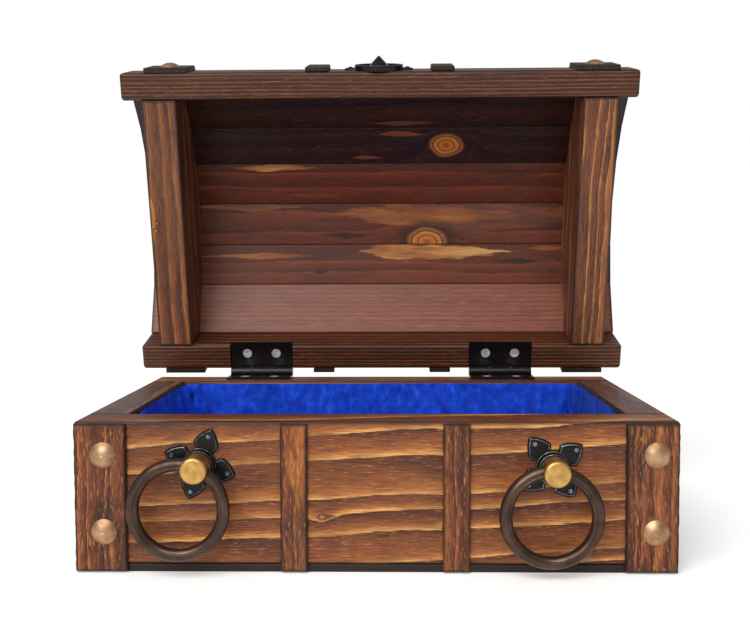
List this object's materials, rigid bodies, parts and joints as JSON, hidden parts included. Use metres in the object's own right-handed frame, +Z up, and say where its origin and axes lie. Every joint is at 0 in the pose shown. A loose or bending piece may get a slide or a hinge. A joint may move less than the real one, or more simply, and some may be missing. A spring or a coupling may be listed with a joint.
{
  "type": "wooden chest money box",
  "caption": "Treasure-chest style box of burnt pine: strapped base with ring pulls and velvet lining, barrel-top lid on butt hinges, open.",
  "frame": {"origin": "middle of the flat underside of the base", "axes": "+X to the right seen from the front, +Y to the back where the hinges are, +Z up"},
  "size_m": [0.3252, 0.2541, 0.2841],
  "materials": {
    "base_pine": "burnt, stained and waxed pine",
    "lid_pine": "burnt, stained and waxed pine",
    "strap_pine": "rough burnt pine strip",
    "burnt_bottom": "charred thin board",
    "nail_brass": "dull aged dome",
    "post_brass": "satin, worn",
    "ring_bronze": "dark bronzed, rubbed",
    "black_iron": "black lacquer worn bright at the edges",
    "hinge_black": "black lacquer",
    "screw_zinc": "zinc plated",
    "blue_velvet": "crushed velvet"
  },
  "bodies": {
    "base": {"base_back_board": "base_pine", "base_back_strap_left_end": "strap_pine", "base_back_strap_left_middle": "strap_pine", "base_back_strap_right_end": "strap_pine", "base_back_strap_right_middle": "strap_pine", "base_bottom_board": "burnt_bottom", "base_dome_nails": "nail_brass", "base_front_board": "base_pine", "base_front_strap_left_end": "strap_pine", "base_front_strap_left_middle": "strap_pine", "base_front_strap_right_end": "strap_pine", "base_front_strap_right_middle": "strap_pine", "base_left_board": "base_pine", "base_right_board": "base_pine", "hinge_base_screws": "screw_zinc", "left_hinge_base_leaf": "hinge_black", "left_pull_plate": "black_iron", "left_pull_post": "post_brass", "lining_back": "blue_velvet", "lining_floor": "blue_velvet", "lining_front": "blue_velvet", "lining_left": "blue_velvet", "lining_right": "blue_velvet", "pull_plate_pins": "black_iron", "right_hinge_base_leaf": "hinge_black", "right_pull_plate": "black_iron", "right_pull_post": "post_brass"},
    "lid": {"hinge_lid_screws": "screw_zinc", "left_hinge_lid_leaf": "hinge_black", "left_hinge_pin": "hinge_black", "lid_back_rail": "lid_pine", "lid_dome_nails": "nail_brass", "lid_front_rail": "lid_pine", "lid_left_end": "lid_pine", "lid_plank_1": "lid_pine", "lid_plank_2": "lid_pine", "lid_plank_3": "lid_pine", "lid_plank_4": "lid_pine", "lid_plank_5": "lid_pine", "lid_plank_6": "lid_pine", "lid_pull_pins": "black_iron", "lid_pull_plate": "black_iron", "lid_pull_stud": "black_iron", "lid_right_end": "lid_pine", "lid_strap_left_end": "strap_pine", "lid_strap_left_middle": "strap_pine", "lid_strap_right_end": "strap_pine", "lid_strap_right_middle": "strap_pine", "right_hinge_lid_leaf": "hinge_black", "right_hinge_pin": "hinge_black"},
    "left_ring": {"left_pull_ring": "ring_bronze"},
    "right_ring": {"right_pull_ring": "ring_bronze"}
  },
  "joints": [
    {"name": "lid_hinge", "type": "hinge", "parent": "base", "child": "lid", "pos_m": [0, 0.09425, 0.0789], "axis": [-1, 0, 0], "range_deg": [-76.7, 64]},
    {"name": "left_ring_swing", "type": "hinge", "parent": "base", "child": "left_ring", "pos_m": [-0.087, -0.10385, 0.0547], "axis": [-0.9164, 0, 0.4003], "range_deg": [-10, 150]},
    {"name": "right_ring_swing", "type": "hinge", "parent": "base", "child": "right_ring", "pos_m": [0.0873, -0.10385, 0.0532], "axis": [-0.9976, 0, 0.0698], "range_deg": [-10, 150]}
  ]
}
